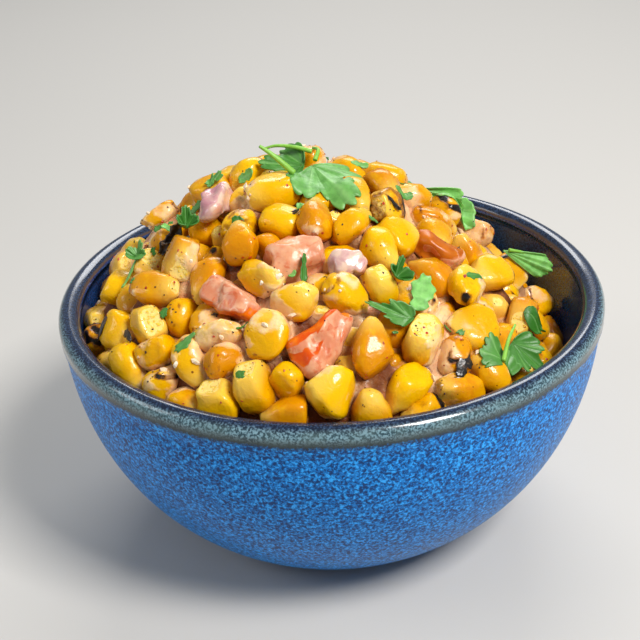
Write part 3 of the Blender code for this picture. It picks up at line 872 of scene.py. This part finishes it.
def leafPoints(place, length, wide, cup, ripple, seed, deep=0.44, toothed=0.16, lobes=0.66, spread=1.75):
    # u from the stalk to the margin, s from one side lobe to the other; the margin's reach is
    # (1 - s^2/4)(1 - deep + deep |cos(pi s / lobes)|^0.55), toothed in the same way four times as finely
    spot, way, across, out = place
    u, s = np.meshgrid(np.linspace(0.02, 1, 13), np.linspace(-1, 1, 89), indexing="ij")
    reach = (1 - 0.25 * s * s) * (1 - deep + deep * np.abs(np.cos(np.pi * s / lobes)) ** 0.55)
    teeth = np.abs(np.cos(4 * np.pi * s / lobes + 0.4 * np.sin(5 * s + seed))) ** 0.6
    reach *= 1 - toothed + toothed * teeth
    reach *= 1 - 0.75 * ease(0.80, 1.0, np.abs(s))
    angle = s * spread
    a = length * u * reach * np.cos(angle)
    b = length * u * reach * np.sin(angle) * wide
    rise = cup * u * u * length * (0.3 + 0.7 * np.sin(angle) ** 2) + ripple * u * u * np.sin(7 * s + seed) \
        + ripple * 0.6 * u * np.cos(13 * s + 2 * seed)
    points = spot + a[..., None] * way + b[..., None] * across + rise[..., None] * out
    vein = 1 - ease(0.0, 0.07, np.abs(s)) * ease(0.0, 0.05, np.abs(np.abs(s) - 0.5))
    return settleOn(points.reshape(-1, 3), 0.4), gridFaces(*u.shape), {"vein": vein.ravel()}


def bladePoints(place, length, width, bend, twist, curl, clearance=0.3, ragged=0.0, veined=0.0):
    # a narrow blade: width * sin(pi t)^0.6 across, bent by bend * t^2 and turned about its own length by
    # twist * t; ragged makes its margins uneven
    spot, way, across, out = place
    t, v = np.meshgrid(np.linspace(0, 1, 15), np.linspace(-1, 1, 7), indexing="ij")
    half = width / 2 * np.maximum(np.sin(np.pi * (0.06 + 0.86 * t)), 0) ** 0.6 * v
    notches = 0.35 * np.sin(11 * t + 9 * bend + 3 * v) + 0.25 * np.sin(23 * t + 40 * curl + 5 * twist)
    half *= 1 + ragged * notches
    turn = twist * t
    lifted = half * np.sin(turn) + bend * t * t * length + curl * v * v * width
    points = (spot + (length * t)[..., None] * way + (half * np.cos(turn))[..., None] * across
              + lifted[..., None] * out)
    vein = veined * (1 - ease(0.0, 0.3, np.abs(v)))
    return settleOn(points.reshape(-1, 3), clearance), gridFaces(*t.shape), {"vein": vein.ravel()}


def stalkPoints(path, radius, sides=8):
    # a tube through the path's points, eased by Catmull-Rom steps; its radius falls to half at its end
    path = np.array(path, float)
    full = np.concatenate([[2 * path[0] - path[1]], path, [2 * path[-1] - path[-2]]])
    t = np.linspace(0, len(path) - 1, 8 * len(path))
    k = np.minimum(t.astype(int), len(path) - 2)
    s = (t - k)[:, None]
    p0, p1, p2, p3 = (full[k + d] for d in range(4))
    line = 0.5 * (2 * p1 + (p2 - p0) * s + (2 * p0 - 5 * p1 + 4 * p2 - p3) * s ** 2
                  + (3 * p1 - p0 - 3 * p2 + p3) * s ** 3)
    way = unit(np.gradient(line, axis=0))
    side = unit(np.cross(way, np.array([0.3, 0.2, 1.0])))
    other = np.cross(way, side)
    angle = np.linspace(0, 2 * np.pi, sides, endpoint=False)[None, :, None]
    girth = radius * (1 - 0.5 * np.linspace(0, 1, len(line)))[:, None, None]
    tube = line[:, None] + girth * (np.cos(angle) * side[:, None] + np.sin(angle) * other[:, None])
    points = np.concatenate([line[:1], tube.reshape(-1, 3), line[-1:]])
    faces = [f[:, ::-1] for f in ballFaces(len(line), sides)]
    return points, faces


def joined(parts):
    # several sets of points, faces and tints as one
    points, quads, tris, tints, base = [], [], [], {}, 0
    for p, f, tint in parts:
        for block in (f if isinstance(f, (list, tuple)) else [f]):
            (quads if block.shape[1] == 4 else tris).append(block + base)
        points.append(p)
        for name, values in tint.items():
            tints.setdefault(name, []).append(values)
        base += len(p)
    faces = [np.concatenate(group) for group in (quads, tris) if group]
    return np.concatenate(points), faces, {name: np.concatenate(v) for name, v in tints.items()}


def leafLook(name, dark, light, pale):
    look = Look(name, Roughness=0.42, Subsurface_Weight=0.12, Subsurface_Scale=0.0008,
                Subsurface_Radius=(0.5, 1.0, 0.3))
    body = look.mix(look.tint("tone"), dark, light)
    body = look.mix(look.noise(2.0, 3.0).ease(0.35, 0.7) * 0.45, body, dark)
    body = look.mix(look.tint("vein") * 0.28, body, pale)
    body = look.mix(look.dots(1.4, 0.2, 0.15), body, paint(70, 40, 14))
    look.feed("Base Color", body)
    look.bump(look.tint("vein") * 0.35 + look.noise(0.8, 3.0) * 0.6, 0.15)
    return look.material


def herbPiece(name, parts, look, thick):
    points, faces, tints = joined(parts)
    piece = addPiece(name, points, faces, tints)
    solid = piece.modifiers.new("thickness", "SOLIDIFY")
    solid.thickness = thick * mm
    solid.offset = 0.0
    finished(piece, look)


def toned(part, tone):
    points, faces, tints = part
    tints["tone"] = np.full(len(points), tone)
    return points, faces, tints


green = leafLook("cilantro", paint(40, 104, 16), paint(134, 200, 104), paint(168, 218, 138))

# whole leaves: x, y, rise, heading, lift, roll, length, width share, cup, ripple, tone, then for some how deep
# their lobes and teeth are, how far apart the lobes are and how far round the leaf spreads
leafRows = [
    (-3.0, -2.4, 5.2, 294, 4, 0, 17.5, 0.62, -0.10, 0.8, 0.60),
    (-5.0, 1.5, 3.6, 172, 0, -20, 10.5, 0.62, 0.10, 0.8, 0.25),
    (21.5, 9.0, 3.6, 348, -4, 80, 13.0, 0.95, 0.06, 0.5, 1.0, 0.12, 0.05, 0.9, 0.75),
    (29.0, 9.6, 3.8, 305, -6, 50, 8.5, 0.75, 0.12, 0.6, 0.9, 0.12, 0.06),
    (42.0, 5.0, 6.5, 356, 14, 58, 14.0, 1.00, -0.04, 0.3, 0.90, 0.08, 0.06, 1.3, 0.34),
    (33.8, -44.5, 4.2, 105, 5, 0, 9.0, 0.65, 0.10, 0.6, 0.25),
    (37.3, -36.0, 4.8, 318, 4, 0, 11.0, 0.55, 0.10, 0.6, 0.15),
    (15.8, -41.1, 4.6, 162, 0, 0, 10.4, 0.30, 0.10, 0.5, 0.30),
    (13.0, -34.0, 5.0, 80, 25, 20, 5.0, 0.60, 0.50, 0.7, 0.10),
    (-43.0, -10.5, 5.0, 75, 20, 10, 4.6, 0.70, 0.40, 0.5, 0.45),
    (42.0, -24.0, 3.6, 10, 0, 0, 7.0, 0.40, 0.20, 0.8, 0.05),
    (-26.5, -1.0, 5.6, 30, 20, 0, 4.6, 0.50, 0.20, 0.5, 0.55),
    (-31.0, -14.5, 5.6, 100, 25, 40, 5.0, 0.60, 0.60, 0.4, 0.15),
    (-12.0, 36.0, 4.8, 120, 5, 0, 10.0, 0.75, 0.12, 0.7, 0.50),
    (18.0, 34.0, 4.6, 60, 5, 0, 9.0, 0.70, 0.15, 0.7, 0.35),
    (-26.0, 38.0, 4.6, 150, 5, 0, 8.0, 0.60, 0.15, 0.6, 0.60),
]
parts = [toned(leafPoints(herbFrame(*row[:6]), row[6], row[7], row[8], row[9], k * 1.7, *row[11:]), row[10])
         for k, row in enumerate(leafRows)]
# blades: x, y, rise, heading, lift, roll, length, width, bend, twist, tone
# blades: x, y, rise, heading, lift, roll, length, width, bend, twist, tone
bladeRows = [
    (19.6, -30.6, 4.73, 248, 6, 0, 9.8, 4.6, 0.05, 0.4, 0.95),
    (-5.8, -36.0, 3.025, 92, 10, 30, 7.0, 1.6, 0.1, 0.6, 0.12),
    (-31.8, -43.4, 2.53, 58, 0, 0, 6.4, 2.8, 0.1, 0.5, 0.4),
    (-43.3, -11.2, 2.86, 232, 0, 0, 5.4, 1.7, 0.05, 0.2, 0.95),
    (-19.9, 0.4, 3.3, 0, 12, 20, 4.4, 2.6, 0.3, 0.3, 0.9),
    (-19.3, -19.6, 2.75, 95, 10, 0, 3.4, 2.6, 0.3, 0.5, 0.05),
    (-9.8, -32.0, 3.08, 330, 5, 0, 3.0, 1.8, 0.2, 0.3, 0.8),
    (-5.8, -18.6, 2.97, 100, 10, 0, 3.0, 1.5, 0.2, 0.3, 0.75),
    (15.4, -5.0, 2.75, 20, 8, 0, 4.0, 2.0, 0.2, 0.4, 0.45),
    (27.9, -29.5, 2.75, 30, 5, 0, 4.6, 2.2, 0.1, 0.3, 0.2),
    (-19.0, -51.5, 2.53, 290, 0, 0, 2.6, 2.4, 0.2, 0.6, 0.1),
    (-35.6, -33.0, 2.64, 80, 5, 0, 3.4, 1.5, 0.1, 0.3, 0.1),
    (5.8, 4.8, 3.19, 5, 5, 0, 4.0, 2.0, 0.2, 0.3, 0.7),
    (-31.0, -3.4, 2.75, 20, 8, 0, 3.6, 2.0, 0.2, 0.4, 0.5),
    (1.4, -28.0, 2.86, 330, 0, 0, 2.6, 1.8, 0.1, 0.4, 0.65),
    (-33.0, -10.0, 2.97, 150, 15, 0, 5.0, 1.6, 0.1, 0.3, 1.0),
    (-40.5, 2.0, 2.75, 340, 8, 0, 5.4, 2.2, 0.1, 0.5, 0.2),
]
for row in bladeRows:
    parts.append(toned(bladePoints(herbFrame(*row[:6]), *row[6:10], 0.12, 0.3, 0.55, 0.4), row[10]))
# chopped bits thrown over the rest
for k in range(26):
    x, y, _ = heapSurface(chance.uniform(0, 360), math.sqrt(chance.uniform(0.0, 0.9)))
    heading, lift, roll = chance.uniform(0, 360), chance.uniform(-5, 25), chance.uniform(-30, 30)
    place = herbFrame(float(x), float(y), 1.4, heading, lift, roll)
    length, width, bend = chance.uniform(1.1, 3.0), chance.uniform(0.7, 1.8), chance.uniform(-0.3, 0.5)
    twist, curl = chance.uniform(-1.2, 1.2), chance.uniform(-0.2, 0.3)
    bit = bladePoints(place, length, width, bend, twist, curl, 0.2, 1.0)
    parts.append(toned(bit, chance.uniform(0, 0.45)))
herbPiece("cilantro_leaves", parts, green, 0.22)

# burnt scraps of skin, in rows like the blades' without a tone
scrapRows = [
    (-47.0, -24.0, 1.28, 250, 0, 20, 5.1, 2.04, 0.3, 0.5),
    (-44.0, -31.0, 1.2, 330, 0, 0, 3.4, 1.53, 0.4, 0.5),
    (27.0, -47.0, 1.44, 200, 10, 30, 4.59, 1.87, 0.4, 0.6),
    (22.0, -51.0, 1.36, 30, 0, 0, 3.06, 1.53, 0.3, 0.4),
    (-30.6, -13.0, 2.08, 230, 10, 20, 5.95, 1.7, 0.4, 0.6),
    (-9.6, -17.0, 2.0, 350, 5, 0, 3.57, 1.53, 0.3, 0.4),
    (12.0, -14.0, 2.08, 20, 10, 10, 3.74, 1.7, 0.4, 0.6),
    (25.5, -20.5, 2.0, 60, 0, 20, 3.91, 1.53, 0.5, 0.4),
    (38.0, -33.0, 1.44, 300, 0, 0, 3.4, 1.36, 0.3, 0.5),
    (-26.0, -36.0, 1.68, 20, 0, 10, 2.89, 1.19, 0.3, 0.5),
    (6.0, -42.0, 1.6, 310, 0, 0, 2.72, 1.105, 0.3, 0.4),
    (-37.0, -15.5, 4.4, 48, 5, 35, 8.075, 2.72, 0.25, 0.6),
    (-14.0, 42.0, 1.52, 40, 0, 0, 3.91, 1.7, 0.3, 0.4),
]
scraps = [bladePoints(herbFrame(*row[:6]), *row[6:10], 0.3, 0.0, 0.8) for row in scrapRows]
burntLook = Look("burnt", Roughness=0.30, Coat_Weight=0.3, Coat_Roughness=0.12)
burntBody = burntLook.mix(burntLook.noise(1.4, 3.0).ease(0.50, 0.68), paint(22, 17, 15), paint(84, 58, 34))
# pale grey-tan patches at random over the scraps
palePatches = burntLook.noise(2.2, 3.0).ease(0.62, 0.74)
burntLook.feed("Base Color", burntLook.mix(palePatches, burntBody, paint(176, 150, 120)))
burntLook.bump(burntLook.noise(1.0, 3.0), 0.2)
herbPiece("burnt_scraps", scraps, burntLook.material, 0.20)

stalkLook = leafLook("cilantro_stalk", paint(96, 160, 40), paint(160, 214, 90), paint(190, 226, 130))
stalks = [
    ([(-7.2, -7.0, 89.0), (-9.6, -6.8, 91.4), (-12.2, -6.3, 93.6), (-14.4, -6.0, 95.2)], 0.75),
    ([(-3.0, 3.0, 90.2), (-7.0, 3.6, 91.2), (-11.0, 4.4, 91.4), (-14.0, 5.0, 90.6)], 0.55),
    ([(-2.4, -1.0, 89.6), (-1.6, 1.6, 91.0), (-2.8, 4.2, 90.6)], 0.55),
    ([(43.5, 5.0, 62.5), (47.5, 6.0, 61.0), (51.0, 7.0, 58.4)], 0.45),
    ([(33.9, -45.0, 61.6), (35.6, -40.6, 64.0), (37.6, -36.4, 65.0)], 0.5),
]
parts = []
for path, radius in stalks:
    points, faces = stalkPoints(path, radius)
    parts.append((points, faces, {"tone": np.full(len(points), 0.6), "vein": np.zeros(len(points))}))
stalkPiece = addPiece("cilantro_stalks", *joined(parts))
finished(stalkPiece, stalkLook)
print("herbs laid:", len(leafRows), "leaves")


# pepper, chilli and crumbs, each grain a squashed six-sided bead on a kernel's skin

def grains(name, count, low, high, squash, lift, colours, gloss, where=None):
    # low and high are the radius in mm; squash is its height over its radius
    skins, middles = kernels.reshape(-1, 3), np.repeat(places, size, axis=0)
    seen = skins[:, 2] > readGrid(wide, skins[:, 0], skins[:, 1], reliefAxis) - 1.5
    if where is not None:
        seen &= chance.random(len(skins)) < where(skins[:, 0], skins[:, 1])
    picked = chance.choice(np.nonzero(seen)[0], count, replace=False)
    out = unit(skins[picked] - middles[picked])
    side = unit(np.cross(out, unit(chance.normal(size=(count, 3)))))[:, None]
    other = np.cross(out, side[:, 0])[:, None]
    ring = np.linspace(0, 2 * np.pi, 6, endpoint=False)[None, :, None]
    r = chance.uniform(low, high, (count, 1, 1)) * chance.uniform(0.65, 1.25, (count, 6, 1))
    oval = chance.uniform(0.5, 1.0, (count, 1, 1))
    rim = np.cos(ring) * side * r + np.sin(ring) * other * r * oval
    top = out[:, None] * (r.mean(1, keepdims=True) * squash)
    points = np.concatenate([top, rim, -top], 1) + (skins[picked] + out * lift)[:, None]
    faces = [repeated(f, count, 8) for f in ballFaces(1, 6) if len(f)]
    piece = addPiece(name, points, faces, {"tone": np.repeat(chance.random(count), 8)}, smooth=False)
    look = Look(name.split("_")[0], Roughness=gloss)
    look.feed("Base Color", look.mix(look.tint("tone"), *colours))
    finished(piece, look.material)


grains("pepper_grains", 400, 0.14, 0.34, 0.6, 0.04, (paint(20, 13, 10), paint(74, 34, 16)), 0.5)
grains("chilli_flakes", 300, 0.18, 0.46, 0.35, 0.05, (paint(150, 26, 8), paint(196, 70, 18)), 0.4)
grains("cheese_crumbs", 80, 0.25, 0.95, 0.6, 0.15, (paint(246, 232, 206), paint(232, 200, 160)), 0.5,
       lambda x, y: dressing(x, y) ** 2)
print("grains scattered")


# bowl

def turned(profile, around, sway):
    # a profile of (radius, height) turned about Z; the radius sways by sway * sin of two and three times the
    # azimuth
    turn = np.arange(around) * 2 * np.pi / around
    swing = sway * np.sin(2 * turn + 0.7) + sway * 0.6 * np.sin(3 * turn + 2.0)
    reach = profile[:, 0][:, None] * (1 + swing)[None]
    rise = profile[:, 1][:, None] * (1 + 0.6 * sway * np.sin(2 * turn + 2.2))[None]
    return np.stack([reach * np.cos(turn), reach * np.sin(turn), rise], -1)


def bowlProfile():
    # from the floor's middle up the inside, over the lip, down the outside and in under the foot
    floor = [[8.0, bowl["floor"]], [20.0, bowl["floor"] + 0.05]]
    depth = np.linspace(1, 0, 60)[1:]
    inZ = lipZ - (lipZ - bowl["floor"]) * np.sin(depth * np.pi / 2)
    inside = np.stack([wallRadius(inZ), inZ], -1)
    turn = np.radians(np.linspace(180, -10, 26))
    lipR = bowl["rim"] - bowl["lip"] / 2
    lip = np.stack([lipR + bowl["lip"] / 2 * np.cos(turn), lipZ + bowl["lip"] / 2 * np.sin(turn)], -1)
    down = np.linspace(lipZ - 1.2, 1.6, 70)
    fall = 1 - ((lipZ - down) / bowl["depth"]) ** bowl["outside"]
    body = (bowl["rim"] - bowl["waist"]) * fall ** (1 / bowl["outside"])
    body += bowl["waist"] * (1 - ease(1.5, 5.0, lipZ - down))
    outside = np.stack([body, down], -1)
    foot = [(30.4, 1.3), (30.15, 0.5), (29.7, 0.06), (29.2, 0.0), (26.6, 0.0), (26.2, 0.1), (25.9, 0.5),
            (25.2, 1.6), (24.2, 2.15), (22.8, 2.2), (12.0, 2.2)]
    return np.concatenate([floor, inside[inside[:, 0] > 24], lip, outside, foot])


profile = bowlProfile()
bowlAround = 220
stretch = np.concatenate([[0], np.cumsum(np.linalg.norm(np.diff(profile, axis=0), axis=1))])
crest = stretch[np.argmax(profile[:, 1])]
ringPoints = turned(profile, bowlAround, 0.0012)
points = np.concatenate([[[0, 0, bowl["floor"]]], ringPoints.reshape(-1, 3), [[0, 0, 2.2]]])
out = np.concatenate([[-60], np.repeat(stretch - crest, bowlAround), [90]])
faces = [f[:, ::-1] for f in ballFaces(len(profile), bowlAround)]
bowlPiece = addPiece("bowl_turned", points, faces, {"out": out})


def glazeLook():
    look = Look("glaze", Roughness=0.22, Specular_IOR_Level=0.22, Coat_Roughness=0.10)
    out = look.tint("out") + (look.noise(7.0, 3.0) - 0.5) * 0.9
    mottle = look.noise(0.68, 2.0, 0.6, 0.5)
    blue = look.mix(mottle.ease(0.40, 0.51), paint(0, 54, 112), paint(0, 114, 200))
    blue = look.mix(mottle.ease(0.52, 0.65), blue, paint(50, 172, 255))
    fleck = look.noise(0.45, 3.0)
    navy = look.mix(fleck.ease(0.42, 0.66), paint(20, 30, 50), paint(46, 66, 98))
    celadon = look.mix(fleck.ease(0.40, 0.62), paint(46, 70, 80), paint(122, 156, 170))
    celadon = look.mix(look.noise(5.0, 2.0).ease(0.3, 0.7) * 0.35, celadon, paint(96, 116, 112))
    celadon = look.mix((out + (fleck - 0.5) * 1.6).ease(3.0, 5.4), celadon, paint(30, 42, 42))
    # painted shade: the inside darkens to near black from 8 to 36 mm down from the lip's crest
    deep = (0 - out).ease(8.0, 36.0)
    inner = look.mix(fleck.ease(0.40, 0.64), paint(14, 44, 94), paint(40, 86, 156))
    inner = look.mix(deep, inner, paint(10, 16, 34))
    body = look.mix((out + (fleck - 0.5) * 0.6).ease(-3.4, -2.9), inner, paint(84, 70, 64))
    body = look.mix((out + (fleck - 0.5) * 0.8).ease(-2.7, -2.2), body, navy)
    body = look.mix((out + (fleck - 0.5) * 1.8).ease(0.8, 2.6), body, celadon)
    body = look.mix((out + (fleck - 0.5) * 1.6).ease(4.8, 6.2), body, blue)
    bare = out.ease(71.0, 71.8)
    body = look.mix(bare, body, paint(196, 178, 150))
    look.feed("Base Color", body)
    look.feed("Roughness", 0.22 + out.ease(5.2, 6.0) * 0.20 + bare * 0.3)
    look.feed("Coat Weight", 0.60 - out.ease(4.6, 6.4) * 0.52)
    look.bump(mottle * out.ease(5.2, 6.0) * 0.4 + look.noise(9.0) * 0.8, 0.10)
    return look.material


finished(bowlPiece, glazeLook(), "bowl")
print("bowl turned, outside length", round(float(stretch[-1] - crest), 1))


# floor and light

def plainPlane(name, size, look):
    s = size / 2
    corners = [(-s, -s, 0), (s, -s, 0), (s, s, 0), (-s, s, 0)]
    piece = addPiece(name, corners, np.array([[0, 1, 2, 3]]), smooth=False)
    piece.data.materials.append(look)
    return piece


floorLook = Look("floor", Roughness=0.6, Base_Color=paint(196, 193, 188))
plainPlane("floor", 6000.0, floorLook.material)


def softbox(name, place, aim, width, height, power, warmth):
    lamp = bpy.data.lights.new(name, "AREA")
    lamp.shape = "RECTANGLE"
    lamp.size, lamp.size_y = width, height
    lamp.energy = power
    lamp.color = warmth
    holder = bpy.data.objects.new(name, lamp)
    holder.location = place
    holder.rotation_mode = "QUATERNION"
    holder.rotation_quaternion = (Vector(aim) - Vector(place)).to_track_quat("-Z", "Y")
    bpy.context.scene.collection.objects.link(holder)


softbox("key", (0.36, -0.34, 0.68), (0, 0, 0.06), 0.22, 0.26, 7.6, (1.0, 0.98, 0.95))
softbox("side", (-0.75, -0.10, 0.50), (0, 0, 0.06), 0.40, 0.30, 1.5, (0.95, 0.98, 1.0))
softbox("behind", (0.10, 0.80, 0.70), (0, 0, 0.06), 0.70, 0.30, 5.0, (1.0, 1.0, 1.0))
sky = bpy.data.worlds.new("sky")
sky.use_nodes = True
sky.node_tree.nodes["Background"].inputs["Color"].default_value = (0.90, 0.95, 1.0, 1.0)
sky.node_tree.nodes["Background"].inputs["Strength"].default_value = 0.26
bpy.context.scene.world = sky
bpy.context.scene.view_settings.view_transform = "Standard"
